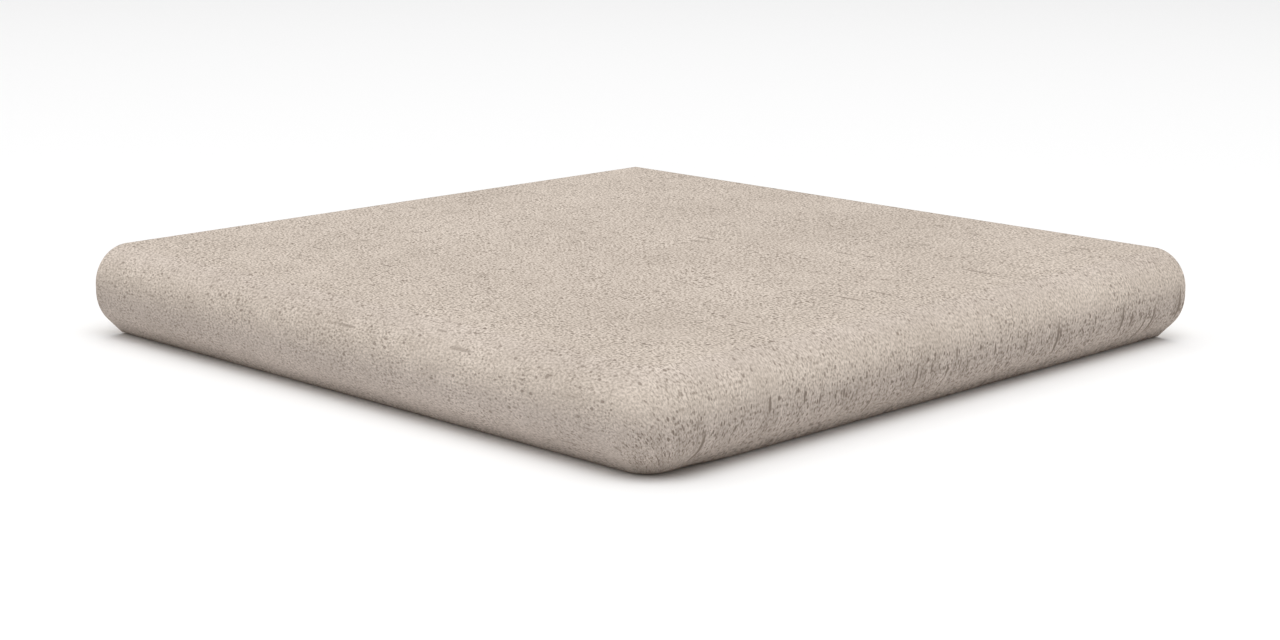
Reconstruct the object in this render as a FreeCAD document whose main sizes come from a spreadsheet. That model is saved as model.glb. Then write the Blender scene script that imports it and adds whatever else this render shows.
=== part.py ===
"""Corner stair tread of fired clinker: a square slab with one rounded nosing that turns the corner.

The frame is in millimetres with +Z up. The tread stands on the foot of its nosing at height 0, with the
middle of its square over the origin. The nosing runs along the front (-Y) side, turns the rounded corner
at +X, -Y, and runs back along the right (+X) side. The other two sides are cut square, to meet the next
treads. Below the slab, behind the nosing, is the recess that takes the step and its mortar bed, and the
bed face over it has key grooves for the mortar.
"""

import FreeCAD, Part
import math
import os
import Sketcher

NODE = "corner_tread"

# Driving sizes in millimetres, and angles in degrees: alias, value, what it is.
SIZES = [
    ("tread_side", 330.0, "each side of the square, from the nose to the cut edge"),
    ("nosing_height", 39.0, "from the foot of the nosing to the top face"),
    ("body_thickness", 14.0, "slab, from the top face to the bed face"),
    ("plan_radius", 24.0, "outer corner in plan, at the widest part of the nosing"),
    ("top_radius", 16.0, "nosing, from the top face round to upright"),
    ("lower_radius", 18.0, "nosing, from upright round to the undercut"),
    ("undercut", 12.5, "how far the front of the foot stands back from the nose"),
    ("undercut_angle", 45.0, "lean of the undercut from upright"),
    ("lip_depth", 25.0, "from the nose to the back of the foot"),
    ("lip_draft", 12.0, "lean of the back of the lip from upright"),
    ("recess_radius", 14.0, "inner corner of the recess in plan, at the foot"),
    ("root_radius", 6.0, "hollow where the back of the lip meets the bed face"),
    ("foot_radius", 1.2, "rounding of both edges of the foot"),
    ("groove_pitch", 14.0, "key grooves in the bed face, centre to centre"),
    ("groove_floor", 3.6, "width of a key groove at its floor"),
    ("groove_depth", 1.3, "depth of a key groove"),
    ("groove_flank", 30.0, "lean of a groove's sides from upright"),
    ("groove_margin", 9.0, "bed face left plain outside the grooves and at their closed ends"),
]

# Allowances in millimetres, the first two of which leave no mark on the finished tread.
TRIM = 2.0  # clay left on the blank outside the nose, for the nosing cutter to take off
REACH = 6.0  # how far a cutter runs past the face that it enters or leaves
LEAST_UPRIGHT = 0.5  # what the top radius, which is limited by its wall, always leaves of the upright

# Sizes that follow from the sheet, as expressions that several features share.
HALF = "Sizes.tread_side / 2"
BED_HEIGHT = "(Sizes.nosing_height - Sizes.body_thickness)"
DRAFT_RUN = f"({BED_HEIGHT} * tan(Sizes.lip_draft * 1 deg))"
LIP_BACK = f"({HALF} - Sizes.lip_depth)"
BED_EDGE = f"({LIP_BACK} - {DRAFT_RUN} - Sizes.root_radius)"
GROOVE_MOUTH = "(Sizes.groove_floor + 2 * Sizes.groove_depth * tan(Sizes.groove_flank * 1 deg))"
UNDERCUT_TOP = "(Sizes.undercut / tan(Sizes.undercut_angle * 1 deg))"
LOWER_TANGENT = "(Sizes.lower_radius * tan(Sizes.undercut_angle / 2 * 1 deg))"
LOWER_DROP = "(Sizes.lower_radius * sin(Sizes.undercut_angle * 1 deg))"
BELLY = f"({UNDERCUT_TOP} + {LOWER_TANGENT})"
TOP_RADIUS = f"min(Sizes.top_radius; Sizes.nosing_height - {BELLY} - {LEAST_UPRIGHT})"

# How a sketch constraint names a point of a curve, and the sketch's own origin.
START, END, CENTRE = 1, 2, 3
ORIGIN = (-1, START)

FLAT = 1e-4  # how far apart two heights may be and still count as one, in millimetres


def make_sheet(doc):
    """The spreadsheet that every feature reads, one row a size."""
    sheet = doc.addObject("Spreadsheet::Sheet", "Sizes")
    for row, (alias, value, meaning) in enumerate(SIZES, start=1):
        sheet.set(f"A{row}", alias)
        sheet.set(f"B{row}", str(value))
        sheet.set(f"C{row}", meaning)
        sheet.setAlias(f"B{row}", alias)
    doc.recompute()
    return sheet


def number(owner, expression):
    """What an expression on the sheet comes to, as a plain number."""
    value = owner.evalExpression(expression)
    return float(getattr(value, "Value", value))


def origin_feature(body, role):
    """One of the body's own origin planes or axes."""
    return next(feature for feature in body.Origin.OriginFeatures if feature.Role == role)


def new_sketch(body, name, role, offset=None):
    """A sketch on one of the body's own origin planes, moved along the plane's normal by an expression."""
    sketch = body.newObject("Sketcher::SketchObject", name)
    sketch.AttachmentSupport = [(origin_feature(body, role), "")]
    sketch.MapMode = "FlatFace"
    if offset:
        sketch.setExpression("AttachmentOffset.Base.z", offset)
    return sketch


def line(start, end):
    """A straight sketch line between two (across, up) points."""
    return Part.LineSegment(FreeCAD.Vector(*start, 0), FreeCAD.Vector(*end, 0))


def arc(centre, radius, first, last):
    """A sketch arc, anticlockwise between two angles in degrees."""
    circle = Part.Circle(FreeCAD.Vector(*centre, 0), FreeCAD.Vector(0, 0, 1), radius)
    return Part.ArcOfCircle(circle, math.radians(first), math.radians(last))


def draw(sketch, curves, closed=True):
    """Add curves that follow one another, and join each end to the next start."""
    sketch.addGeometry(curves, False)
    last = len(curves) - 1
    for index in range(last):
        sketch.addConstraint(Sketcher.Constraint("Coincident", index, END, index + 1, START))
    if closed:
        sketch.addConstraint(Sketcher.Constraint("Coincident", last, END, 0, START))


def level(sketch, kind, *indices):
    """Make lines Horizontal or Vertical."""
    for index in indices:
        sketch.addConstraint(Sketcher.Constraint(kind, index))


def size(sketch, name, expression, kind, *places):
    """Add a named dimension and tie it to the sheet."""
    index = sketch.addConstraint(Sketcher.Constraint(kind, *places, number(sketch, expression)))
    sketch.renameConstraint(index, name)
    sketch.setExpression(f"Constraints.{name}", expression)


def rounded_square(sketch, left, front, right, back, radius):
    """A square round the origin with its front right corner rounded, each side given by its distance."""
    x0, y0 = -number(sketch, left), -number(sketch, front)
    x1, y1 = number(sketch, right), number(sketch, back)
    bend = number(sketch, radius)
    draw(sketch, [
        line((x0, y0), (x1 - bend, y0)),
        arc((x1 - bend, y0 + bend), bend, -90, 0),
        line((x1, y0 + bend), (x1, y1)),
        line((x1, y1), (x0, y1)),
        line((x0, y1), (x0, y0)),
    ])
    level(sketch, "Horizontal", 0, 3)
    level(sketch, "Vertical", 2, 4)
    sketch.addConstraint(Sketcher.Constraint("Vertical", 0, END, 1, CENTRE))
    sketch.addConstraint(Sketcher.Constraint("Horizontal", 2, START, 1, CENTRE))
    size(sketch, "left", left, "DistanceX", 4, END, *ORIGIN)
    size(sketch, "front", front, "DistanceY", 4, END, *ORIGIN)
    size(sketch, "right", right, "DistanceX", *ORIGIN, 2, END)
    size(sketch, "back", back, "DistanceY", *ORIGIN, 2, END)
    size(sketch, "corner_radius", radius, "Radius", 1)


def blank(body):
    """The clay blank: the tread's plan at its full height, a little proud along the nosing."""
    sketch = new_sketch(body, "plan_outline", "XY_Plane")
    nose = f"{HALF} + {TRIM}"
    rounded_square(sketch, HALF, nose, nose, HALF, f"Sizes.plan_radius + {TRIM}")
    pad = body.newObject("PartDesign::Pad", "clay_blank")
    pad.Profile = sketch
    pad.setExpression("Length", "Sizes.nosing_height")
    return pad


def nosing_path(body):
    """The line that the nose follows: along the front, round the corner and back along the right side."""
    sketch = new_sketch(body, "nosing_path", "XY_Plane")
    half = number(sketch, HALF)
    bend = number(sketch, "Sizes.plan_radius")
    draw(sketch, [
        line((-half - REACH, -half), (half - bend, -half)),
        arc((half - bend, -half + bend), bend, -90, 0),
        line((half, -half + bend), (half, half + REACH)),
    ], closed=False)
    level(sketch, "Horizontal", 0)
    level(sketch, "Vertical", 2)
    sketch.addConstraint(Sketcher.Constraint("Vertical", 0, END, 1, CENTRE))
    sketch.addConstraint(Sketcher.Constraint("Horizontal", 2, START, 1, CENTRE))
    size(sketch, "path_start", f"{HALF} + {REACH}", "DistanceX", 0, START, *ORIGIN)
    size(sketch, "front_nose", HALF, "DistanceY", 0, START, *ORIGIN)
    size(sketch, "right_nose", HALF, "DistanceX", *ORIGIN, 2, END)
    size(sketch, "path_end", f"{HALF} + {REACH}", "DistanceY", *ORIGIN, 2, END)
    size(sketch, "corner_radius", "Sizes.plan_radius", "Radius", 1)
    return sketch


def nosing_section(body):
    """What is taken off outside the nose: two arcs, a short upright between them and the undercut."""
    sketch = new_sketch(body, "nosing_section", "YZ_Plane", f"-({HALF} + {REACH})")
    nose = -number(sketch, HALF)
    height = number(sketch, "Sizes.nosing_height")
    top = number(sketch, TOP_RADIUS)
    lower = number(sketch, "Sizes.lower_radius")
    foot = nose + number(sketch, "Sizes.undercut")
    lean = number(sketch, "Sizes.undercut_angle")
    belly = number(sketch, BELLY)
    turn = math.radians(lean)
    undercut_start = (nose + lower - lower * math.cos(turn), belly - lower * math.sin(turn))
    draw(sketch, [
        arc((nose + top, height - top), top, 90, 180),
        line((nose, height - top), (nose, belly)),
        arc((nose + lower, belly), lower, 180, 180 + lean),
        line(undercut_start, (foot, 0)),
        line((foot, 0), (foot, -REACH)),
        line((foot, -REACH), (nose - REACH, -REACH)),
        line((nose - REACH, -REACH), (nose - REACH, height + REACH)),
        line((nose - REACH, height + REACH), (nose + top, height + REACH)),
        line((nose + top, height + REACH), (nose + top, height)),
    ])
    level(sketch, "Horizontal", 5, 7)
    level(sketch, "Vertical", 1, 4, 6, 8)
    sketch.addConstraint(Sketcher.Constraint("Vertical", 0, START, 0, CENTRE))
    sketch.addConstraint(Sketcher.Constraint("Horizontal", 1, START, 0, CENTRE))
    sketch.addConstraint(Sketcher.Constraint("Horizontal", 1, END, 2, CENTRE))
    size(sketch, "nose", HALF, "DistanceX", 1, START, *ORIGIN)
    size(sketch, "top_face", "Sizes.nosing_height", "DistanceY", *ORIGIN, 0, START)
    size(sketch, "top_radius", TOP_RADIUS, "Radius", 0)
    size(sketch, "lower_radius", "Sizes.lower_radius", "Radius", 2)
    size(sketch, "belly", BELLY, "DistanceY", *ORIGIN, 1, END)
    size(sketch, "lower_arc", LOWER_DROP, "DistanceY", 2, END, 2, START)
    size(sketch, "foot_front", f"{HALF} - Sizes.undercut", "DistanceX", 3, END, *ORIGIN)
    size(sketch, "foot_level", "0", "DistanceY", *ORIGIN, 3, END)
    size(sketch, "reach_below", f"{REACH}", "DistanceY", 4, END, 4, START)
    size(sketch, "reach_outside", f"{REACH}", "DistanceX", 5, END, 1, END)
    size(sketch, "reach_above", f"{REACH}", "DistanceY", 8, END, 8, START)
    return sketch


def trim_nosing(body):
    """Sweep the section round the nosing's path, so that both arms and the corner have one profile."""
    path = nosing_path(body)
    sweep = body.newObject("PartDesign::SubtractivePipe", "nosing_trim")
    sweep.Profile = nosing_section(body)
    sweep.Spine = (path, ["Edge1", "Edge2", "Edge3"])
    return sweep


def recess(body):
    """The recess below the slab: open at both cut edges, and upright all round until it is drafted."""
    sketch = new_sketch(body, "recess_outline", "XY_Plane")
    past_cut = f"{HALF} + {REACH}"
    rounded_square(sketch, past_cut, LIP_BACK, LIP_BACK, past_cut, "Sizes.recess_radius")
    pocket = body.newObject("PartDesign::Pocket", "step_recess")
    pocket.Profile = sketch
    pocket.Reversed = True
    pocket.setExpression("Length", BED_HEIGHT)
    return pocket


def lip_back_faces(hollow):
    """Names of the recess's own walls: the faces from the foot up to the bed, clear of the cut faces."""
    bed = number(hollow, BED_HEIGHT)
    cut = number(hollow, HALF) - FLAT
    names = []
    for index, face in enumerate(hollow.Shape.Faces, start=1):
        box = face.BoundBox
        wall = abs(box.ZMin) < FLAT and abs(box.ZMax - bed) < FLAT
        on_cut = box.XMax < -cut or box.YMin > cut
        if wall and not on_cut:
            names.append(f"Face{index}")
    return names


def lean_back(body, hollow):
    """Lean the back of the lip by the draft, with the foot as wide as it was."""
    draft = body.newObject("PartDesign::Draft", "lip_draft")
    draft.Base = (hollow, lip_back_faces(hollow))
    draft.NeutralPlane = (origin_feature(body, "XY_Plane"), [""])
    draft.Reversed = True
    draft.setExpression("Angle", "Sizes.lip_draft * 1 deg")
    return draft


def inner_edges(doc, feature, height):
    """Names of the edges that lie at one height and away from the cut faces."""
    doc.recompute()
    cut = number(feature, HALF) - FLAT
    names = []
    for index, edge in enumerate(feature.Shape.Edges, start=1):
        box = edge.BoundBox
        flat = abs(box.ZMin - height) < FLAT and abs(box.ZMax - height) < FLAT
        on_cut = box.XMax < -cut or box.YMin > cut
        if flat and not on_cut:
            names.append(f"Edge{index}")
    return names


def fillet(body, name, base, edges, radius):
    """Round some edges of the feature before it."""
    feature = body.newObject("PartDesign::Fillet", name)
    feature.Base = (base, edges)
    feature.setExpression("Radius", radius)
    return feature


def key_groove(body):
    """One key groove: a shallow trough from the left cut edge to short of the right lip."""
    sketch = new_sketch(body, "groove_section", "YZ_Plane", f"-({HALF} + {REACH})")
    first = f"{BED_EDGE} - Sizes.groove_margin - {GROOVE_MOUTH} / 2"
    middle = -number(sketch, first)
    bed = number(sketch, BED_HEIGHT)
    floor = bed + number(sketch, "Sizes.groove_depth")
    half_mouth = number(sketch, GROOVE_MOUTH) / 2
    half_floor = number(sketch, "Sizes.groove_floor") / 2
    draw(sketch, [
        line((middle - half_mouth, bed), (middle + half_mouth, bed)),
        line((middle + half_mouth, bed), (middle + half_floor, floor)),
        line((middle + half_floor, floor), (middle - half_floor, floor)),
        line((middle - half_floor, floor), (middle - half_mouth, bed)),
    ])
    level(sketch, "Horizontal", 0, 2)
    size(sketch, "bed_face", BED_HEIGHT, "DistanceY", *ORIGIN, 0, START)
    size(sketch, "depth", "Sizes.groove_depth", "DistanceY", 1, START, 1, END)
    size(sketch, "mouth", GROOVE_MOUTH, "DistanceX", 0, START, 0, END)
    size(sketch, "floor", "Sizes.groove_floor", "DistanceX", 2, END, 2, START)
    size(sketch, "mouth_start", f"{first} + {GROOVE_MOUTH} / 2", "DistanceX", 0, START, *ORIGIN)
    size(sketch, "floor_start", f"{first} + Sizes.groove_floor / 2", "DistanceX", 2, END, *ORIGIN)
    pocket = body.newObject("PartDesign::Pocket", "key_groove")
    pocket.Profile = sketch
    pocket.Reversed = True
    pocket.setExpression("Length", f"{HALF} + {REACH} + {BED_EDGE} - Sizes.groove_margin")
    return pocket


def key_grooves(doc, body):
    """The row of key grooves, from the front lip back to the cut edge."""
    groove = key_groove(body)
    doc.recompute()
    row = body.newObject("PartDesign::LinearPattern", "key_grooves")
    row.Originals = [groove]
    row.Direction = (origin_feature(body, "Y_Axis"), [""])
    row.Mode = "Spacing"
    row.setExpression("Offset", "Sizes.groove_pitch")
    room = f"({BED_EDGE} + {HALF} - 2 * Sizes.groove_margin - {GROOVE_MOUTH})"
    row.setExpression("Occurrences", f"floor({room} / Sizes.groove_pitch) + 1")
    body.Tip = row
    return row


def take_off(doc, before, feature):
    """Work a cut out, and prove that it took clay off the body before it."""
    doc.recompute()
    if not feature.Shape.Volume < before.Shape.Volume:
        raise ValueError(f"{feature.Label} missed the clay")
    return feature


def build_tread(doc):
    """The whole tread, one feature after the other."""
    body = doc.addObject("PartDesign::Body", NODE)
    body.Label = NODE
    clay = blank(body)
    doc.recompute()
    nosed = take_off(doc, clay, trim_nosing(body))
    hollow = take_off(doc, nosed, recess(body))
    leaning = lean_back(body, hollow)
    root = inner_edges(doc, leaning, number(leaning, BED_HEIGHT))
    rooted = fillet(body, "lip_root", leaning, root, "Sizes.root_radius")
    foot = inner_edges(doc, rooted, 0.0)
    footed = fillet(body, "foot_edges", rooted, foot, "Sizes.foot_radius")
    doc.recompute()
    take_off(doc, footed, key_grooves(doc, body))
    return body


def check(doc, body):
    """Stop unless every object of the document is sound and the tread is one closed solid."""
    for item in doc.Objects:
        if "Invalid" in item.State or "Error" in item.State:
            raise ValueError(f"{item.Label} failed: {item.State}")
    shape = body.Shape
    if shape.isNull() or not shape.isValid() or len(shape.Solids) != 1:
        raise ValueError("the tread is not one sound solid")


def main():
    """Build the tread, check it and write its STEP file."""
    doc = FreeCAD.newDocument("corner_stair_tread")
    make_sheet(doc)
    body = build_tread(doc)
    doc.recompute()
    check(doc, body)
    os.makedirs("parts", exist_ok=True)
    body.Shape.exportStep(f"parts/{NODE}.step")
    print(f"{NODE}: {body.Shape.Volume / 1000:.1f} cm3, box {body.Shape.BoundBox}")


main()
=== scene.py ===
"""Corner stair tread of fired clinker, modelled and lit for a plain studio view.

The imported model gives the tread's box. This file models the tread as it is seen: the pressed relief of its
walking face and nosing, the stone print that runs along the front nosing and down over the right one, the
raw fired body of the cut edges and the underside, and the worn arrises. Lengths are in metres.
"""

import math
from collections import namedtuple

import bmesh
import bpy
from mathutils import Matrix, Vector, noise


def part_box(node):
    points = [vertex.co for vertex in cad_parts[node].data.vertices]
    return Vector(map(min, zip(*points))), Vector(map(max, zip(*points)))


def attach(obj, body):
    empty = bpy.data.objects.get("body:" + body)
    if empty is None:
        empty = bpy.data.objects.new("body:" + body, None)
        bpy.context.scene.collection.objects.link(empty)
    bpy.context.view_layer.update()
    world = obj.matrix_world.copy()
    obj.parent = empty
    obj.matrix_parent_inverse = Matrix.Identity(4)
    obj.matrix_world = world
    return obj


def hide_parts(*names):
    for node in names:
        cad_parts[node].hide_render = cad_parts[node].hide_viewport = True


bl_info = {
    "name": "Corner Stair Tread",
    "version": (1, 0, 0),
    "blender": (4, 5, 0),
    "location": "View3D > Sidebar > Tread",
    "description": "Models a clinker corner stair tread and its studio",
    "category": "Object",
}

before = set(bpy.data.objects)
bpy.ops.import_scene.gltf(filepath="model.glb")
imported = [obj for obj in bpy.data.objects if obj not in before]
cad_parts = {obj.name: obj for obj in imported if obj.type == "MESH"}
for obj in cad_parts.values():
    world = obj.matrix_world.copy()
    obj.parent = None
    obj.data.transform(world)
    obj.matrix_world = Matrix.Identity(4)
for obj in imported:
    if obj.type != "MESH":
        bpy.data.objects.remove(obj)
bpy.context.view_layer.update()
TREAD_LOW, TREAD_HIGH = (Vector(corner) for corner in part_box("corner_tread"))

SLACK = 1e-5  # how far apart two places may be and still count as one
QUARTER = math.pi / 2
FOOT_STEPS = 2  # mesh steps round each edge of the foot
ARRIS_STEPS = 2  # mesh steps round a worn arris
ARRIS_ANGLE = 0.8  # least turn at an edge of a cut face that is worn, in radians
RELIEF_WAVES = ((0.030, 0.00014), (0.008, 0.00006), (0.0035, 0.00003))  # length and depth of each wave
COVER_TURN = (0.25, 0.50)  # how far a face looks out before the print starts to cover it, and covers it whole
SHARP_ANGLE = math.radians(20)  # least turn between faces that stays sharp
SENSOR_WIDTH = 36.0  # of the camera, in millimetres
CLIP_START = 0.01  # how near the camera still sees
FLOOR_DROP = 0.0002  # how far the floor lies below the foot, so that the two don't flicker
FLOOR_ROUGHNESS = 0.9
FLOOR_GLOSS = 0.1
WHITE = (1.0, 1.0, 1.0)
TO_MILLIMETRES = (1000, 1000, 1000)
EVEN = (1.0, 1.0, 1.0)

# Soft patterns: the stretch of the place along each axis, the size in millimetres, the noise's detail, and
# the strength
Clouds = namedtuple("Clouds", "stretch size detail strength")
PRINT_CLOUDS = (
    Clouds(EVEN, 70.0, 3.0, 0.24),
    Clouds((0.62, 1.0, 1.0), 7.0, 3.0, 0.20),
    Clouds((0.30, 1.0, 1.0), 2.6, 2.0, 0.16))
PRINT_CROWDS = Clouds(EVEN, 20.0, 4.0, 1.0)
PRINT_GRAIN = Clouds((0.62, 1.0, 1.0), 0.76, 1.5, 2.60)
PRINT_PITS = Clouds((0.62, 1.0, 1.0), 0.95, 1.0, 0.17)
PRINT_RUNS = Clouds((0.10, 1.0, 1.0), 3.2, 3.0, 0.55)
PRINT_EDGE = Clouds(EVEN, 1.2, 2.0, 0.7)
BODY_TONE = Clouds(EVEN, 28.0, 3.0, 0.26)
BODY_GRAIN = Clouds(EVEN, 0.9, 3.0, 0.36)
DRAG_LINES = Clouds((0.02, 1.0, 1.0), 1.1, 2.0, 0.24)
SAW_LINES = Clouds((1.0, 1.0, 0.03), 0.7, 2.0, 0.24)
KILN_DUST = Clouds(EVEN, 16.0, 4.0, 0.45)

# Round marks, at most one in each cell: the stretch of the place, the cell in millimetres, the least and the
# most radius as parts of a cell, the share of cells that hold one, how much more of them do where the marks
# crowd, and the strength
Marks = namedtuple("Marks", "stretch cell least most few more strength")
FINE_SPECKS = Marks((0.62, 1.0, 1.0), 1.3, 0.16, 0.34, 0.06, 0.30, 0.70)
COARSE_SPECKS = Marks((0.62, 1.0, 1.0), 3.6, 0.09, 0.17, 0.10, 0.40, 0.95)
THIN_STREAKS = Marks((0.36, 1.0, 1.0), 1.5, 0.13, 0.26, 0.03, 0.36, 0.85)
LONG_STREAKS = Marks((0.20, 1.0, 1.0), 5.0, 0.07, 0.14, 0.05, 0.26, 0.75)
SCRATCHES = Marks((0.10, 1.0, 1.0), 6.0, 0.07, 0.14, 0.02, 0.14, 0.70)
GROG_GRAINS = Marks(EVEN, 2.6, 0.08, 0.26, 0.42, 0.0, 0.70)
PALE_GRAINS = Marks((0.9, 1.1, 1.0), 4.5, 0.06, 0.16, 0.30, 0.0, 0.55)
MARK_EDGE = (0.7, 1.2)  # where a mark starts to fade, and is gone, as parts of its radius

# Where the stone print and the shade painted into it change, in millimetres round the nosing from the walking
# face
SHOULDER_RUN = (0.0, 9.0)  # the print grows calmer over the shoulder
CREST_RISE = (0.0, 5.0)  # painted shade deepens its tone over the crest of the shoulder
CREST_FALL = (8.0, 18.0)  # and clears again
TURN_RUN = (19.0, 33.0)  # it takes the nosing's colour, which is painted shade, and on the right the streaks
END_TURN = (8.0, 24.0)  # at the left end it goes from paler on top to deeper over the nosing, where the deepening is painted shade

# Where it changes in plan, in millimetres to the right of the tread's middle
ARM_RUN = (150.0, 166.0)  # streaks and marks grow stronger over the right nosing
END_RUN = (-165.0, -10.0)  # the paler top and the painted shade of the left end fade out towards the middle
SCRATCH_RUN = (20.0, 110.0)  # scratches grow more common towards the right side
CORNER_RUN = (110.0, 290.0)  # grain grows calmer towards the front corner, by how far right and front it is

# How much it changes there
END_PALE_AND_PAINTED_SHADE = (0.03, -0.09)  # tone at the left end: paler on top, and deeper over the nosing as painted shade
CALM_GRAIN = -0.60  # grain over the shoulder
CALM_MARKS = -0.45  # marks over the shoulder
CREST_PAINTED_SHADE = 0.40  # how far the crest of the shoulder takes the nosing's colour, which is painted shade there
CORNER_GRAIN = -0.16  # grain by the front corner
ARM_GRAIN = 0.30  # grain down the right nosing
ARM_MARKS = 0.70  # marks down the right nosing
ARM_CROWD = 0.60  # how far the marks crowd there, at least
DENSE_GRAIN = 0.40  # grain where the marks crowd
DENSE_PITS = 0.14  # pits where the marks crowd
DENSE_TONE = 0.05  # tone where the marks crowd

GROUND_TONE = 1.05  # tone of the print between its pits
GRAIN_CAP = 1.17  # how bright its grain may be, beside the ground
MARK_STRENGTH = 1.15  # of all its marks, on the walking face
CROWD_FADE = (0.36, 0.64)  # values of the noise where the marks start to crowd, and crowd most
PIT_FADE = (0.28, 0.50)  # where a pit is deepest, and where it ends
DUST_FADE = (0.50, 0.72)  # where the dust starts, and where it is thickest
RUN_MIDDLE = 0.66  # below it the runs darken the right nosing, and above it they brighten it
EDGE_FADE = (0.40, 0.60)  # how far the print has to cover a point to show there, and to hide the raw body
PRINT_HEIGHT = 0.5  # how high the grain stands on the print, beside the depth of a mark
BODY_HEIGHT = 0.8  # and on the raw body
BUMP_DEPTH = 0.00012
BUMP_STRENGTH = 0.6
FIRED_IOR = 1.5
FIRED_GLOSS = 0.25


class TreadSizes(bpy.types.PropertyGroup):
    """Sizes of the tread, as the construction has them."""

    side: bpy.props.FloatProperty(
        name="Side", description="Each side of the square, from the nose to the cut edge",
        default=TREAD_HIGH.x - TREAD_LOW.x, unit="LENGTH")
    height: bpy.props.FloatProperty(
        name="Nosing height", description="From the foot of the nosing to the walking face",
        default=TREAD_HIGH.z, unit="LENGTH")
    slab: bpy.props.FloatProperty(
        name="Slab", description="Thickness from the walking face to the bed face",
        default=0.014, unit="LENGTH")
    plan_radius: bpy.props.FloatProperty(
        name="Corner radius", description="Outer corner in plan, at the nose",
        default=0.024, unit="LENGTH")
    top_radius: bpy.props.FloatProperty(
        name="Top radius", description="Nosing, from the walking face round to upright",
        default=0.016, unit="LENGTH")
    lower_radius: bpy.props.FloatProperty(
        name="Lower radius", description="Nosing, from upright round to the undercut",
        default=0.018, unit="LENGTH")
    undercut: bpy.props.FloatProperty(
        name="Undercut", description="How far the front of the foot stands back from the nose",
        default=0.0125, unit="LENGTH")
    undercut_angle: bpy.props.FloatProperty(
        name="Undercut angle", description="Lean of the undercut from upright",
        default=math.radians(45), subtype="ANGLE")
    lip_depth: bpy.props.FloatProperty(
        name="Lip depth", description="From the nose to the back of the foot",
        default=0.025, unit="LENGTH")
    lip_draft: bpy.props.FloatProperty(
        name="Lip draft", description="Lean of the back of the lip from upright",
        default=math.radians(12), subtype="ANGLE")
    recess_radius: bpy.props.FloatProperty(
        name="Recess radius", description="Inner corner of the recess in plan, at the foot",
        default=0.014, unit="LENGTH")
    root_radius: bpy.props.FloatProperty(
        name="Root radius", description="Hollow where the lip meets the bed face",
        default=0.006, unit="LENGTH")
    foot_radius: bpy.props.FloatProperty(
        name="Foot radius", description="Rounding of both edges of the foot",
        default=0.0012, unit="LENGTH")
    groove_pitch: bpy.props.FloatProperty(
        name="Groove pitch", description="Key grooves, centre to centre",
        default=0.014, unit="LENGTH")
    groove_floor: bpy.props.FloatProperty(
        name="Groove floor", description="Width of a key groove at its floor",
        default=0.0036, unit="LENGTH")
    groove_depth: bpy.props.FloatProperty(
        name="Groove depth", description="Depth of a key groove",
        default=0.0013, unit="LENGTH")
    groove_flank: bpy.props.FloatProperty(
        name="Groove flank", description="Lean of a groove's sides from upright",
        default=math.radians(30), subtype="ANGLE")
    groove_margin: bpy.props.FloatProperty(
        name="Groove margin", description="Bed face left plain outside the grooves and at their closed ends",
        default=0.009, unit="LENGTH")
    arris: bpy.props.FloatProperty(
        name="Arris", description="Wear along the arrises of the cut edges",
        default=0.0004, unit="LENGTH")
    foot_dent: bpy.props.FloatProperty(
        name="Foot dent", description="Slight hollow along the foot of the right lip",
        default=0.0012, unit="LENGTH")
    foot_dent_place: bpy.props.FloatProperty(
        name="Dent place", description="Middle of the hollow, back from the front nose",
        default=0.028, unit="LENGTH")
    foot_dent_length: bpy.props.FloatProperty(
        name="Dent length", description="From the middle of the hollow to where it fades",
        default=0.017, unit="LENGTH")
    foot_dent_height: bpy.props.FloatProperty(
        name="Dent height", description="How far up the lip the hollow reaches",
        default=0.008, unit="LENGTH")
    mesh_step: bpy.props.FloatProperty(
        name="Mesh step", description="Usual length of a mesh edge",
        default=0.0018, unit="LENGTH")
    corner_steps: bpy.props.IntProperty(
        name="Corner steps", description="Mesh steps round the nosing's corner, an even number",
        default=16, min=4)


class Section:
    """Places that follow from the sizes: back from the nose, or up from the floor."""

    def __init__(self, sizes):
        lean = sizes.undercut_angle
        self.half = sizes.side / 2
        self.bed = sizes.height - sizes.slab
        self.belly = sizes.undercut / math.tan(lean) + sizes.lower_radius * math.tan(lean / 2)
        self.shoulder = sizes.height - sizes.top_radius
        undercut_top = self.belly - sizes.lower_radius * math.sin(lean)
        self.foot_trim = sizes.foot_radius * math.tan((QUARTER - lean) / 2)
        self.undercut_run = undercut_top / math.cos(lean) - self.foot_trim
        self.foot_front = sizes.undercut + self.foot_trim
        self.root_turn = QUARTER - sizes.lip_draft
        self.root_trim = sizes.root_radius * math.tan(self.root_turn / 2)
        back_trim = sizes.foot_radius * math.tan(self.root_turn / 2)
        self.foot_back = sizes.lip_depth - back_trim
        self.wall_top = sizes.lip_depth + self.bed * math.tan(sizes.lip_draft)
        self.wall_run = self.bed / math.cos(sizes.lip_draft) - self.root_trim - back_trim
        self.bed_edge = self.wall_top + self.root_trim
        self.recess_corner = sizes.lip_depth + sizes.recess_radius
        self.first_groove = self.wall_top + sizes.root_radius + sizes.groove_margin
        self.groove_side = sizes.groove_depth * math.tan(sizes.groove_flank)
        self.groove_mouth = sizes.groove_floor + 2 * self.groove_side


def steps_for(length, sizes):
    """How many mesh edges a length takes."""
    return max(1, round(length / sizes.mesh_step))


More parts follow.
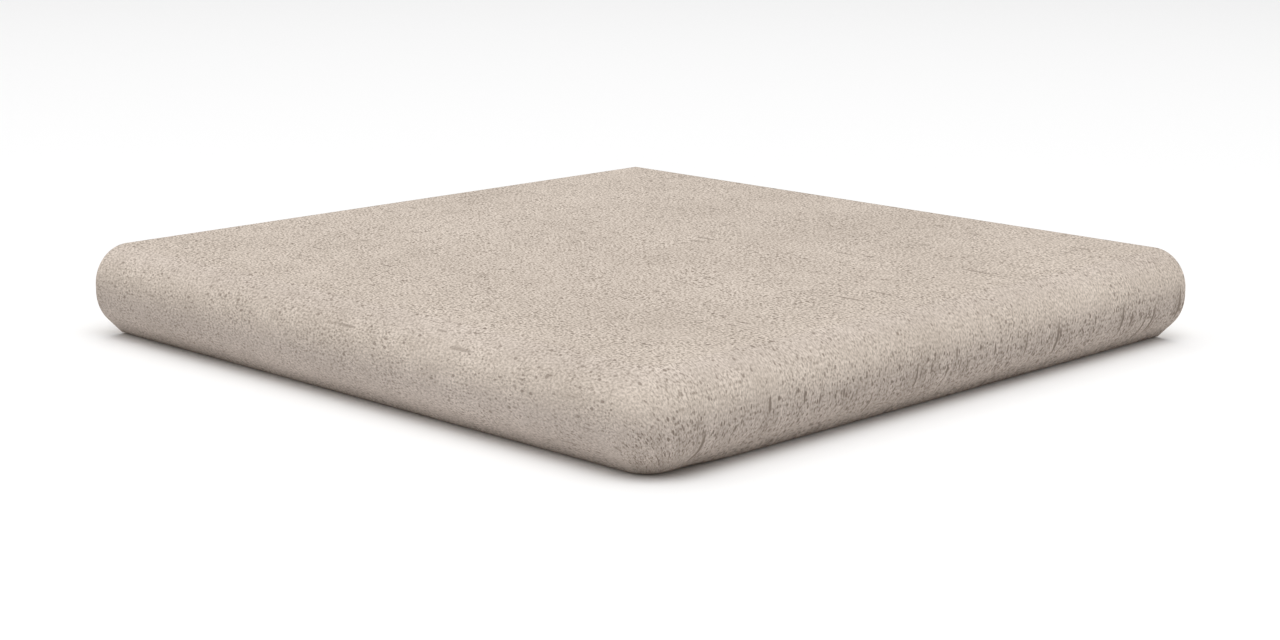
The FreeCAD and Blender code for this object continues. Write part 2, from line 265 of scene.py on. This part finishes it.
class Pen:
    """Draws the nosing's section as points: how far back from the nose, and how high."""

    def __init__(self, back, up, sizes):
        self.sizes = sizes
        self.points = [(back, up)]

    def turn(self, centre, angle, steps=None):
        """An arc about a point of the section."""
        start = self.points[-1]
        across, rise = start[0] - centre[0], start[1] - centre[1]
        steps = steps or steps_for(abs(angle) * math.hypot(across, rise), self.sizes)
        for step in range(1, steps + 1):
            turned = angle * step / steps
            self.points.append((
                centre[0] + across * math.cos(turned) - rise * math.sin(turned),
                centre[1] + across * math.sin(turned) + rise * math.cos(turned)))

    def go(self, direction, length):
        """A straight run, in a direction given as an angle above the way back from the nose."""
        start = self.points[-1]
        steps = steps_for(length, self.sizes)
        for step in range(1, steps + 1):
            gone = length * step / steps
            self.points.append((
                start[0] + gone * math.cos(direction), start[1] + gone * math.sin(direction)))


def nose_section(sizes, section):
    """The outside of the nosing, from the walking face down to the flat of the foot."""
    pen = Pen(sizes.top_radius, sizes.height, sizes)
    lean = sizes.undercut_angle
    pen.turn((sizes.top_radius, section.shoulder), QUARTER)
    pen.go(-QUARTER, section.shoulder - section.belly)
    pen.turn((sizes.lower_radius, section.belly), lean)
    pen.go(lean - QUARTER, section.undercut_run)
    pen.turn((section.foot_front, sizes.foot_radius), QUARTER - lean, FOOT_STEPS)
    return pen.points


def back_section(sizes, section):
    """The back of the lip, from the bed face down to the flat of the foot."""
    pen = Pen(section.bed_edge, section.bed, sizes)
    pen.turn((section.bed_edge, section.bed - sizes.root_radius), section.root_turn)
    pen.go(-QUARTER - sizes.lip_draft, section.wall_run)
    pen.turn((section.foot_back, sizes.foot_radius), -section.root_turn, FOOT_STEPS)
    return pen.points


def front_marks(sizes, section):
    """Where the mesh has to have an edge along the front: at its ends, and by the ends of the grooves."""
    groove_end = 2 * section.half - section.first_groove
    return [0.0, groove_end, groove_end + sizes.arris, 2 * section.half - section.recess_corner]


def side_marks(sizes, section):
    """Where the mesh has to have an edge along the right side: at its ends, and along the grooves."""
    last = 2 * section.half - sizes.groove_margin - section.groove_mouth
    side, floor = section.groove_side, sizes.groove_floor
    marks = [section.recess_corner]
    mouth = section.first_groove
    while mouth <= last:
        middle = mouth + side + floor / 2
        marks += [mouth, mouth + side, middle, middle + floor / 2, mouth + section.groove_mouth]
        mouth += sizes.groove_pitch
    return marks + [2 * section.half]


def stations(marks, start, end, sizes):
    """Mesh places from start to end, with the marks stretched to fit between them."""
    stretch = (end - start) / (marks[-1] - marks[0])
    places = [start]
    for early, late in zip(marks, marks[1:]):
        steps = steps_for(late - early, sizes)
        places += [start + (early + (late - early) * step / steps - marks[0]) * stretch
                   for step in range(1, steps + 1)]
    return places


def lay_grid(mesh, columns, rows, place):
    """A grid of faces, with its vertices where place puts each column and row."""
    made = bmesh.ops.create_grid(mesh, x_segments=columns - 1, y_segments=rows - 1, size=1.0)
    for vert in made["verts"]:
        column = round((vert.co.x + 1) / 2 * (columns - 1))
        row = round((vert.co.y + 1) / 2 * (rows - 1))
        vert.co = place(column, row)


class Field:
    """One flat face, the walking face or the bed face, with the part of the nosing that springs from it."""

    def __init__(self, sizes, section, level, edge, corner):
        self.level = level
        self.corner = corner
        self.reach = corner - edge
        self.axis = Vector((section.half - corner, corner - section.half, 0))
        self.front = stations(front_marks(sizes, section), -section.half, self.axis.x, sizes)
        self.side = stations(side_marks(sizes, section), self.axis.y, section.half, sizes)
        angles = [QUARTER * step / sizes.corner_steps for step in range(sizes.corner_steps + 1)]
        self.ways = [Vector((math.sin(angle), -math.cos(angle), 0)) for angle in angles]
        self.lead = sizes.corner_steps // 2

    def sweep(self, mesh, points):
        """Carry a section along the front, round the corner and back along the right side."""
        path = [(Vector((x, self.axis.y, 0)), self.ways[0]) for x in self.front]
        path += [(self.axis, way) for way in self.ways[1:-1]]
        path += [(Vector((self.axis.x, y, 0)), self.ways[-1]) for y in self.side]

        def place(column, row):
            centre, way = path[column]
            back, up = points[row]
            return centre + way * (self.corner - back) + Vector((0, 0, up))

        lay_grid(mesh, len(path), len(points), place)

    def rows(self):
        """Places of the mesh rows of the flat, from its front edge to its back one."""
        lead = [self.axis.y - self.reach * (1 - step / self.lead) for step in range(self.lead)]
        return lead + self.side

    def lay_flat(self, mesh):
        """The flat behind the front nosing, in an even grid."""
        rows = self.rows()
        lay_grid(mesh, len(self.front), len(rows),
                 lambda column, row: Vector((self.front[column], rows[row], self.level)))

    def lay_strip(self, mesh):
        """The flat beside the right nosing, from the even grid to the rounded corner."""
        rows = self.rows()
        middle = self.axis + Vector((0, 0, self.level))
        arc = [middle + way * self.reach for way in self.ways]
        left = [Vector((self.axis.x, y, self.level)) for y in rows]
        right = arc[self.lead:-1] + [Vector((self.axis.x + self.reach, y, self.level)) for y in self.side]

        def place(column, row):
            share = column / self.lead
            bulge = arc[column] - left[0].lerp(right[0], share)
            return left[row].lerp(right[row], share) + bulge * max(0.0, 1 - row / self.lead)

        lay_grid(mesh, self.lead + 1, len(rows), place)


def rim(mesh, level):
    """The open edges that lie at one height."""
    return [edge for edge in mesh.edges
            if edge.is_boundary and all(abs(vert.co.z - level) < SLACK for vert in edge.verts)]


def bridge(mesh, edges, cuts):
    """Join two open chains with faces, and cut the new faces into rows."""
    across = bmesh.ops.bridge_loops(mesh, edges=edges)["edges"]
    bmesh.ops.subdivide_edges(mesh, edges=across, cuts=cuts, use_grid_fill=True)


def build_shell(sizes, section):
    """The closed shell of the tread, before its grooves, wear and relief."""
    mesh = bmesh.new()
    top = Field(sizes, section, sizes.height, sizes.top_radius, sizes.plan_radius)
    bed = Field(sizes, section, section.bed, section.bed_edge, section.recess_corner)
    top.sweep(mesh, nose_section(sizes, section))
    bed.sweep(mesh, back_section(sizes, section))
    bridge(mesh, rim(mesh, 0.0), steps_for(section.foot_back - section.foot_front, sizes) - 1)
    for field in (top, bed):
        field.lay_flat(mesh)
        field.lay_strip(mesh)
    bmesh.ops.remove_doubles(mesh, verts=mesh.verts, dist=SLACK)
    bridge(mesh, rim(mesh, sizes.height) + rim(mesh, section.bed), steps_for(sizes.slab, sizes) - 1)
    bmesh.ops.edgeloop_fill(mesh, edges=[edge for edge in mesh.edges if edge.is_boundary])
    bmesh.ops.recalc_face_normals(mesh, faces=mesh.faces)
    return mesh


def sink_grooves(mesh, sizes, section):
    """Press the key grooves into the bed face."""
    first = section.first_groove + section.groove_mouth / 2 - section.half
    last = section.half - sizes.groove_margin - section.groove_mouth / 2
    closed_end = section.half - section.first_groove
    for vert in mesh.verts:
        if abs(vert.co.z - section.bed) > SLACK or vert.co.x > closed_end + SLACK:
            continue
        middle = first + max(0, round((vert.co.y - first) / sizes.groove_pitch)) * sizes.groove_pitch
        if middle <= last + SLACK:
            inside = section.groove_mouth / 2 - abs(vert.co.y - middle)
            vert.co.z += sizes.groove_depth * min(1.0, max(0.0, inside / section.groove_side))


def on_cut(place, section):
    """Whether a point lies on the left or the back cut edge."""
    return place.x < SLACK - section.half or place.y > section.half - SLACK


def wear_arrises(mesh, sizes, section):
    """Round the arrises of the two cut edges."""
    cut = [edge for edge in mesh.edges if all(on_cut(vert.co, section) for vert in edge.verts)]
    sharp = [edge for edge in cut if edge.calc_face_angle(0.0) > ARRIS_ANGLE]
    bmesh.ops.bevel(
        mesh, geom=sharp, offset=sizes.arris, offset_type="OFFSET", segments=ARRIS_STEPS, profile=0.5,
        affect="EDGES", material=-1, clamp_overlap=True)
    ends = [face for face in mesh.faces if len(face.verts) > 4]
    bmesh.ops.triangulate(mesh, faces=ends, quad_method="BEAUTY", ngon_method="BEAUTY")


def relief(place):
    """How deep the pressed surface lies at a point, below its true face."""
    return sum(depth * (1 - noise.noise(place / wave)) / 2 for wave, depth in RELIEF_WAVES)


def press_relief(mesh, sizes, section):
    """Give the pressed faces their slight waves, and the foot its hollow by the corner."""
    mesh.normal_update()
    dent_place = sizes.foot_dent_place - section.half
    for vert in mesh.verts:
        place = vert.co.copy()
        push = vert.normal * -relief(place)
        if place.x < SLACK - section.half:
            push.x = 0
        if place.y > section.half - SLACK:
            push.y = 0
        if place.z < SLACK:
            push.z = 0
        vert.co += push
        low = 1 - place.z / sizes.foot_dent_height
        outer = (place.x - section.half + sizes.lip_depth) / (sizes.lip_depth - sizes.undercut)
        if low > 0 and outer > 0:
            along = (place.y - dent_place) / sizes.foot_dent_length
            vert.co.z += sizes.foot_dent * low * min(1.0, outer) * math.exp(-along * along)


def girth(sizes, section, up):
    """How far a point of the nosing is from the walking face, round its section."""
    if up >= section.shoulder:
        return sizes.top_radius * math.acos(min(1.0, (up - section.shoulder) / sizes.top_radius))
    if up >= section.belly:
        return sizes.top_radius * QUARTER + section.shoulder - up
    drop = section.belly - up
    turned = min(math.asin(min(1.0, drop / sizes.lower_radius)), sizes.undercut_angle)
    straight = (drop - sizes.lower_radius * math.sin(turned)) / math.cos(sizes.undercut_angle)
    upright = section.shoulder - section.belly
    return sizes.top_radius * QUARTER + upright + sizes.lower_radius * turned + straight


def way_out(sizes, section, place):
    """The point of the tread's middle square that is nearest to a place in plan, and the way out to it."""
    spring = section.half - sizes.plan_radius
    nearest = Vector((min(place.x, spring), max(place.y, -spring), 0))
    return nearest, Vector((place.x, place.y, 0)) - nearest


def unroll(sizes, section, place):
    """Where a point lies on the stone print laid flat. Its height there is how far round the nosing it is."""
    nearest, out = way_out(sizes, section, place)
    edge = sizes.plan_radius - sizes.top_radius
    if out.length <= edge:
        return nearest + out
    round_nose = girth(sizes, section, place.z)
    return nearest + out.normalized() * (edge + round_nose) + Vector((0, 0, round_nose))


def smooth_share(value, low, high):
    """A smooth rise from 0 to 1 between two values."""
    share = min(1.0, max(0.0, (value - low) / (high - low)))
    return share * share * (3 - 2 * share)


def print_cover(sizes, section, place, normal):
    """How far the stone print covers a point: 1 on the show faces, 0 on the raw body."""
    out = way_out(sizes, section, place)[1]
    facing = normal.dot(out.normalized())
    if place.z > section.bed + sizes.groove_depth + SLACK:
        return smooth_share(max(normal.z, facing), *COVER_TURN)
    outside = out.length > sizes.plan_radius - section.foot_front - section.foot_trim
    return smooth_share(facing, *COVER_TURN) if outside else 0.0


def write_attributes(data, sizes, section):
    """Store what the finish needs to know about each vertex."""
    places, covers, cuts = [], [], []
    for vert in data.vertices:
        cut = on_cut(vert.co, section)
        places.extend(unroll(sizes, section, vert.co))
        covers.append(0.0 if cut else print_cover(sizes, section, vert.co, vert.normal))
        cuts.append(1.0 if cut else 0.0)
    data.attributes.new("print_place", "FLOAT_VECTOR", "POINT").data.foreach_set("vector", places)
    data.attributes.new("print_cover", "FLOAT", "POINT").data.foreach_set("value", covers)
    data.attributes.new("cut_face", "FLOAT", "POINT").data.foreach_set("value", cuts)


class TreadLooks(bpy.types.PropertyGroup):
    """Colours of the tread, and how rough it is."""

    stone: bpy.props.FloatVectorProperty(
        name="Stone", description="Ground colour of the stone print",
        default=(0.580, 0.501, 0.431), subtype="COLOR", size=3, min=0.0, max=1.0)
    # The nosing's colour is the stone print darkened by painted shade, for the nosing's faces that turn away
    # from the light overhead
    nosing: bpy.props.FloatVectorProperty(
        name="Nosing", description="Ground colour of the stone print over the nosing",
        default=(0.496, 0.427, 0.377), subtype="COLOR", size=3, min=0.0, max=1.0)
    shade: bpy.props.FloatVectorProperty(
        name="Shade", description="Tint of the stone print where it is half as bright",
        default=(0.530, 0.500, 0.467), subtype="COLOR", size=3, min=0.0, max=1.0)
    speck: bpy.props.FloatVectorProperty(
        name="Speck", description="Dark specks of the stone print",
        default=(0.240, 0.194, 0.158), subtype="COLOR", size=3, min=0.0, max=1.0)
    body: bpy.props.FloatVectorProperty(
        name="Body", description="Raw fired body, on the cut edges and underneath",
        default=(0.479, 0.352, 0.238), subtype="COLOR", size=3, min=0.0, max=1.0)
    grog: bpy.props.FloatVectorProperty(
        name="Grog", description="Dark grains in the raw body",
        default=(0.120, 0.085, 0.065), subtype="COLOR", size=3, min=0.0, max=1.0)
    dust: bpy.props.FloatVectorProperty(
        name="Kiln dust", description="Pale dust left on the bed face",
        default=(0.640, 0.580, 0.500), subtype="COLOR", size=3, min=0.0, max=1.0)
    roughness: bpy.props.FloatProperty(
        name="Roughness", description="Roughness of the stone print",
        default=0.78, subtype="FACTOR", min=0.0, max=1.0)


class Studio(bpy.types.PropertyGroup):
    """The camera, the floor and the light."""

    camera_place: bpy.props.FloatVectorProperty(
        name="Camera place", description="Where the camera stands",
        default=(0.6988, -0.7231, 0.2296), subtype="TRANSLATION", unit="LENGTH", size=3)
    camera_turn: bpy.props.FloatProperty(
        name="Camera turn", description="Round the tread, from the front towards the right side",
        default=math.radians(44.077), subtype="ANGLE")
    camera_pitch: bpy.props.FloatProperty(
        name="Camera pitch", description="How far the camera looks down",
        default=math.radians(12.404), subtype="ANGLE")
    camera_roll: bpy.props.FloatProperty(
        name="Camera roll", description="Turn about the line of sight",
        default=math.radians(0.425), subtype="ANGLE")
    lens: bpy.props.FloatProperty(
        name="Lens", description="Focal length in millimetres, on a sensor 36 wide",
        default=67.42, min=1.0)
    floor_side: bpy.props.FloatProperty(
        name="Floor side", description="Side of the floor", default=9.0, unit="LENGTH")
    floor_colour: bpy.props.FloatVectorProperty(
        name="Floor colour", description="Plain pale floor",
        default=(0.95, 0.95, 0.95), subtype="COLOR", size=3, min=0.0, max=1.0)
    sky_strength: bpy.props.FloatProperty(
        name="Sky strength", description="Even light from all round", default=0.36, min=0.0)
    key_power: bpy.props.FloatProperty(
        name="Key power", description="Power of the soft light overhead, in watts",
        default=158.0, min=0.0)
    key_side: bpy.props.FloatProperty(
        name="Key side", description="Side of the soft light", default=7.0, unit="LENGTH")
    key_place: bpy.props.FloatVectorProperty(
        name="Key place", description="Where the soft light hangs",
        default=(0.0, -0.5, 5.0), subtype="TRANSLATION", unit="LENGTH", size=3)
    fill_power: bpy.props.FloatProperty(
        name="Fill power", description="Power of the soft light behind the camera, in watts",
        default=195.0, min=0.0)
    fill_side: bpy.props.FloatProperty(
        name="Fill side", description="Side of the soft light behind the camera", default=4.8, unit="LENGTH")
    fill_place: bpy.props.FloatVectorProperty(
        name="Fill place", description="Where the soft light behind the camera hangs",
        default=(1.8, -1.4, 6.2), subtype="TRANSLATION", unit="LENGTH", size=3)


class Wiring:
    """Adds shader nodes to a tree, and joins them as it goes."""

    def __init__(self, tree):
        self.tree = tree

    def set_socket(self, socket, value):
        """Link a socket to another one, or give it a value."""
        if isinstance(value, bpy.types.NodeSocket):
            self.tree.links.new(value, socket)
        else:
            socket.default_value = value

    def node(self, kind, inputs, **settings):
        """A node with its settings, and a value or a link for each socket named."""
        made = self.tree.nodes.new(kind)
        for name, value in settings.items():
            setattr(made, name, value)
        for socket, value in inputs.items():
            self.set_socket(made.inputs[socket], value)
        return made

    def attribute(self, name, output):
        """A value stored on the mesh."""
        return self.node("ShaderNodeAttribute", {}, attribute_name=name).outputs[output]

    def stretched(self, place, factors):
        """A place multiplied axis by axis."""
        return self.node("ShaderNodeVectorMath", {0: place, 1: factors}, operation="MULTIPLY").outputs[0]

    def calc(self, operation, *terms):
        """A calculation on one, two or three numbers."""
        return self.node("ShaderNodeMath", dict(enumerate(terms)), operation=operation).outputs[0]

    def clouds(self, place, kind, dimensions="2D"):
        """Soft noise from 0 to 1, of one kind of clouds."""
        stretched = self.stretched(place, kind.stretch)
        inputs = {"Vector": stretched, "Scale": 1 / kind.size, "Detail": kind.detail}
        return self.node("ShaderNodeTexNoise", inputs, noise_dimensions=dimensions).outputs["Fac"]

    def fade(self, value, low, high, start=0.0, end=1.0):
        """A smooth change from start to end as a value goes from low to high."""
        inputs = {"Value": value, "From Min": low, "From Max": high, "To Min": start, "To Max": end}
        return self.node("ShaderNodeMapRange", inputs, interpolation_type="SMOOTHSTEP").outputs[0]

    def swing(self, value, reach):
        """Noise from 0 to 1 turned into a factor about 1."""
        return self.calc("MULTIPLY_ADD", self.calc("SUBTRACT", value, 0.5), reach, 1.0)

    def grow(self, start, share, more):
        """A value that grows by so much as a share goes from 0 to 1."""
        return self.calc("MULTIPLY_ADD", share, more, start)

    def product(self, *factors):
        """Several numbers multiplied together."""
        made = factors[0]
        for factor in factors[1:]:
            made = self.calc("MULTIPLY", made, factor)
        return made

    def between(self, part, first, second):
        """A number between two others, the second one where the part is 1."""
        return self.node("ShaderNodeMix", {0: part, 2: first, 3: second}, data_type="FLOAT").outputs[0]

    def mix(self, share, first, second, blend="MIX"):
        """A mix of two colours. A share above 1 goes past the second one."""
        made = self.node("ShaderNodeMix", {}, data_type="RGBA", blend_type=blend, clamp_factor=False)
        sockets = [socket for socket in made.inputs if socket.enabled]
        for socket, value in zip(sockets, (share, first, second)):
            self.set_socket(socket, value)
        return next(socket for socket in made.outputs if socket.enabled)

    def marks(self, place, kind, crowd=0.0, dimensions="2D"):
        """Round marks of one kind, 1 on a mark and 0 beside it."""
        inputs = {"Vector": self.stretched(place, kind.stretch), "Scale": 1 / kind.cell}
        made = self.node("ShaderNodeTexVoronoi", inputs, voronoi_dimensions=dimensions)
        chance = self.node("ShaderNodeSeparateColor", {"Color": made.outputs["Color"]})
        radius = self.fade(chance.outputs[1], 0.0, 1.0, kind.least, kind.most)
        near = self.calc("DIVIDE", made.outputs["Distance"], radius)
        there = self.calc("LESS_THAN", chance.outputs[0], self.grow(kind.few, crowd, kind.more))
        return self.product(self.fade(near, *MARK_EDGE, 1.0, 0.0), there)


def colour(value):
    """A colour with its alpha."""
    return (*value, 1.0)


def print_grain(wiring, place, dense, calm, corner, arm):
    """The fine grain of the stone print, and how far it lightens and darkens it."""
    reach = wiring.product(
        wiring.grow(PRINT_GRAIN.strength, dense, DENSE_GRAIN),
        wiring.grow(1.0, calm, CALM_GRAIN),
        wiring.grow(1.0, corner, CORNER_GRAIN))
    return wiring.clouds(place, PRINT_GRAIN), wiring.grow(reach, arm, ARM_GRAIN)


def print_marks(wiring, place, dense, calm, arm, right):
    """The dark specks, streaks and scratches of the stone print."""
    marks = 0.0
    for kind, crowd in (
            (FINE_SPECKS, dense), (COARSE_SPECKS, dense),
            (THIN_STREAKS, arm), (LONG_STREAKS, arm), (SCRATCHES, right)):
        made = wiring.product(wiring.marks(place, kind, crowd), kind.strength)
        marks = wiring.calc("MAXIMUM", marks, made)
    bold = wiring.grow(wiring.grow(MARK_STRENGTH, calm, CALM_MARKS), arm, ARM_MARKS)
    return wiring.calc("MINIMUM", wiring.product(marks, bold), 1.0)


def stone_face(wiring, looks):
    """Colour and height of the stone print, on its places laid flat, with painted shade in its colour over
    the nosing, over the crest of the shoulder and at the left end.
    """
    place = wiring.stretched(wiring.attribute("print_place", "Vector"), TO_MILLIMETRES)
    across, back, down = wiring.node("ShaderNodeSeparateXYZ", {"Vector": place}).outputs
    calm = wiring.fade(down, *SHOULDER_RUN)
    # Share of the way down the nosing: it brings in the nosing's painted shade, and on the right the print's
    # streaks
    turned = wiring.fade(down, *TURN_RUN)
    arm = wiring.product(turned, wiring.fade(across, *ARM_RUN))
    corner = wiring.fade(wiring.calc("SUBTRACT", across, back), *CORNER_RUN)
    # The left end is paler on top and darker over the nosing; the darkening over the nosing is painted shade
    end = wiring.product(wiring.fade(across, *END_RUN, 1.0, 0.0), wiring.fade(down, *END_TURN, *END_PALE_AND_PAINTED_SHADE))
    # Painted shade: the crest of the shoulder is darkened towards the nosing's colour
    crest = wiring.product(wiring.fade(down, *CREST_RISE), wiring.fade(down, *CREST_FALL, 1.0, 0.0))
    crowds = wiring.fade(wiring.clouds(place, PRINT_CROWDS), *CROWD_FADE, 0.0, PRINT_CROWDS.strength)
    dense = wiring.calc("MAXIMUM", crowds, wiring.product(arm, ARM_CROWD))

    grain, reach = print_grain(wiring, place, dense, calm, corner, arm)
    pits = wiring.product(
        wiring.fade(wiring.clouds(place, PRINT_PITS), *PIT_FADE, 1.0, 0.0),
        wiring.grow(PRINT_PITS.strength, dense, DENSE_PITS))
    runs = wiring.calc("SUBTRACT", wiring.clouds(place, PRINT_RUNS), RUN_MIDDLE)
    tone = wiring.product(
        *(wiring.swing(wiring.clouds(place, kind), kind.strength) for kind in PRINT_CLOUDS),
        wiring.calc("MINIMUM", wiring.swing(grain, reach), GRAIN_CAP),
        wiring.calc("SUBTRACT", wiring.grow(GROUND_TONE, dense, DENSE_TONE), pits),
        wiring.grow(1.0, wiring.product(arm, runs), PRINT_RUNS.strength),
        wiring.calc("ADD", end, 1.0))
    # Painted shade: the print takes the darker nosing colour down the nosing and partly over the crest of the
    # shoulder
    nosing_shade_share = wiring.calc("MAXIMUM", turned, wiring.product(crest, CREST_PAINTED_SHADE))
    stone = wiring.mix(nosing_shade_share, colour(looks.stone), colour(looks.nosing))
    bright = wiring.grow(-1.0, tone, 2.0)  # 0 where the tone is a half, and 1 where it is whole
    tint = wiring.mix(bright, colour(looks.shade), colour(WHITE))
    ground = wiring.mix(1.0, stone, tint, "MULTIPLY")

    marks = print_marks(wiring, place, dense, calm, arm, wiring.fade(across, *SCRATCH_RUN))
    face = wiring.mix(marks, ground, colour(looks.speck))
    return face, wiring.calc("SUBTRACT", wiring.product(grain, PRINT_HEIGHT), marks)


def raw_body(wiring, looks):
    """Colour and height of the raw fired body."""
    place = wiring.stretched(wiring.node("ShaderNodeTexCoord", {}).outputs["Object"], TO_MILLIMETRES)
    cut = wiring.attribute("cut_face", "Fac")
    grain = wiring.clouds(place, BODY_GRAIN, "3D")
    lines = wiring.between(
        cut, wiring.clouds(place, DRAG_LINES, "3D"), wiring.clouds(place, SAW_LINES, "3D"))
    tone = wiring.product(
        wiring.swing(wiring.clouds(place, BODY_TONE, "3D"), BODY_TONE.strength),
        wiring.swing(grain, BODY_GRAIN.strength),
        wiring.swing(lines, wiring.between(cut, DRAG_LINES.strength, SAW_LINES.strength)))
    ground = wiring.mix(1.0, colour(looks.body), tone, "MULTIPLY")
    dust = wiring.product(
        wiring.fade(wiring.clouds(place, KILN_DUST, "3D"), *DUST_FADE),
        wiring.calc("SUBTRACT", 1.0, cut), KILN_DUST.strength)
    dusted = wiring.mix(dust, ground, colour(looks.dust))
    grog = wiring.marks(place, GROG_GRAINS, dimensions="3D")
    pale = wiring.marks(place, PALE_GRAINS, dimensions="3D")
    face = wiring.mix(wiring.product(grog, GROG_GRAINS.strength), dusted, colour(looks.grog))
    face = wiring.mix(wiring.product(pale, PALE_GRAINS.strength), face, colour(looks.dust))
    height = wiring.calc("ADD", wiring.product(grain, BODY_HEIGHT), lines)
    return face, wiring.calc("SUBTRACT", height, grog)


def make_clinker(looks):
    """The finish of the whole tread: a stone print over a raw fired body."""
    material = bpy.data.materials.new("fired_clinker")
    material.use_nodes = True
    tree = material.node_tree
    tree.nodes.clear()
    wiring = Wiring(tree)
    stone, stone_height = stone_face(wiring, looks)
    body, body_height = raw_body(wiring, looks)
    place = wiring.stretched(wiring.attribute("print_place", "Vector"), TO_MILLIMETRES)
    ragged = wiring.swing(wiring.clouds(place, PRINT_EDGE), PRINT_EDGE.strength)
    ragged = wiring.calc("ADD", wiring.attribute("print_cover", "Fac"), wiring.calc("SUBTRACT", ragged, 1.0))
    cover = wiring.fade(ragged, *EDGE_FADE)
    face = wiring.mix(cover, body, stone)
    height = wiring.between(cover, body_height, stone_height)
    bump = wiring.node("ShaderNodeBump", {
        "Height": height, "Strength": BUMP_STRENGTH, "Distance": BUMP_DEPTH})
    shader = wiring.node("ShaderNodeBsdfPrincipled", {
        "Base Color": face, "Roughness": looks.roughness, "Normal": bump.outputs["Normal"],
        "IOR": FIRED_IOR, "Specular IOR Level": FIRED_GLOSS, "Metallic": 0.0})
    wiring.node("ShaderNodeOutputMaterial", {"Surface": shader.outputs["BSDF"]})
    return material


def add_object(name, data):
    """Put an object in the scene."""
    made = bpy.data.objects.new(name, data)
    bpy.context.scene.collection.objects.link(made)
    return made


class MakeTread(bpy.types.Operator):
    """Model the corner stair tread and give it its finish"""

    bl_idname = "tread.make_tread"
    bl_label = "Make the tread"

    def execute(self, context):
        sizes = context.scene.tread_sizes
        section = Section(sizes)
        mesh = build_shell(sizes, section)
        sink_grooves(mesh, sizes, section)
        wear_arrises(mesh, sizes, section)
        press_relief(mesh, sizes, section)
        bmesh.ops.recalc_face_normals(mesh, faces=mesh.faces)
        if any(not edge.is_manifold for edge in mesh.edges):
            raise RuntimeError("the tread's shell isn't closed")
        data = bpy.data.meshes.new("clinker_tread")
        mesh.to_mesh(data)
        mesh.free()
        data.shade_smooth()
        data.set_sharp_from_angle(angle=SHARP_ANGLE)
        write_attributes(data, sizes, section)
        data.materials.append(make_clinker(context.scene.tread_looks))
        piece = add_object("clinker_tread", data)
        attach(piece, "root")
        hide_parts("corner_tread")
        return {"FINISHED"}


def make_floor(studio):
    """A plain pale floor."""
    mesh = bmesh.new()
    bmesh.ops.create_grid(mesh, x_segments=1, y_segments=1, size=studio.floor_side / 2)
    bmesh.ops.translate(mesh, verts=mesh.verts, vec=(0, 0, -FLOOR_DROP))
    data = bpy.data.meshes.new("studio_floor")
    mesh.to_mesh(data)
    mesh.free()
    material = bpy.data.materials.new("studio_floor")
    material.use_nodes = True
    shader = material.node_tree.nodes["Principled BSDF"]
    shader.inputs["Base Color"].default_value = colour(studio.floor_colour)
    shader.inputs["Roughness"].default_value = FLOOR_ROUGHNESS
    shader.inputs["Specular IOR Level"].default_value = FLOOR_GLOSS
    data.materials.append(material)
    add_object("studio_floor", data)


def add_soft_light(name, place, side, power):
    """A square soft light that faces the tread."""
    light = bpy.data.lights.new(name, "AREA")
    light.shape = "SQUARE"
    light.size = side
    light.energy = power
    lamp = add_object(name, light)
    lamp.location = place
    lamp.rotation_euler = (-Vector(place)).to_track_quat("-Z", "Y").to_euler()


def make_light(scene, studio):
    """Even light from all round, a large soft light overhead and one behind the camera."""
    world = bpy.data.worlds.new("studio_sky")
    world.use_nodes = True
    background = world.node_tree.nodes["Background"]
    background.inputs["Color"].default_value = colour(WHITE)
    background.inputs["Strength"].default_value = studio.sky_strength
    scene.world = world
    add_soft_light("studio_key", studio.key_place, studio.key_side, studio.key_power)
    add_soft_light("studio_fill", studio.fill_place, studio.fill_side, studio.fill_power)


def make_camera(scene, studio):
    """The camera, where the view is taken from."""
    data = bpy.data.cameras.new("studio_camera")
    data.lens = studio.lens
    data.sensor_width = SENSOR_WIDTH
    data.clip_start = CLIP_START
    camera = add_object("studio_camera", data)
    turn = Matrix.Rotation(studio.camera_turn, 4, "Z")
    tilt = Matrix.Rotation(QUARTER - studio.camera_pitch, 4, "X")
    roll = Matrix.Rotation(studio.camera_roll, 4, "Z")
    camera.matrix_world = Matrix.Translation(studio.camera_place) @ turn @ tilt @ roll
    scene.camera = camera


class MakeStudio(bpy.types.Operator):
    """Set up the floor, the light and the camera"""

    bl_idname = "tread.make_studio"
    bl_label = "Make the studio"

    def execute(self, context):
        scene = context.scene
        studio = scene.tread_studio
        make_floor(studio)
        make_light(scene, studio)
        make_camera(scene, studio)
        scene.view_settings.view_transform = "Standard"
        scene.view_settings.look = "None"
        return {"FINISHED"}


class TreadPanel(bpy.types.Panel):
    """Lists the steps of the tread"""

    bl_idname = "VIEW3D_PT_corner_tread"
    bl_label = "Corner stair tread"
    bl_space_type = "VIEW_3D"
    bl_region_type = "UI"
    bl_category = "Tread"

    def draw(self, context):
        layout = self.layout
        for step in STEPS:
            layout.operator(step.bl_idname)
        for group in (context.scene.tread_sizes, context.scene.tread_looks, context.scene.tread_studio):
            box = layout.box()
            for name in group.__annotations__:
                box.prop(group, name)


GROUPS = {"tread_sizes": TreadSizes, "tread_looks": TreadLooks, "tread_studio": Studio}
STEPS = (MakeTread, MakeStudio)


def register():
    """Register the classes, and hang the groups on the scene."""
    for item in (*GROUPS.values(), *STEPS, TreadPanel):
        bpy.utils.register_class(item)
    for name, group in GROUPS.items():
        setattr(bpy.types.Scene, name, bpy.props.PointerProperty(type=group))


def unregister():
    """Take the groups and the classes away again."""
    for name in GROUPS:
        delattr(bpy.types.Scene, name)
    for item in (TreadPanel, *STEPS, *GROUPS.values()):
        bpy.utils.unregister_class(item)


def main():
    """Make everything."""
    register()
    bpy.ops.tread.make_tread()
    bpy.ops.tread.make_studio()


if __name__ == "__main__":
    main()
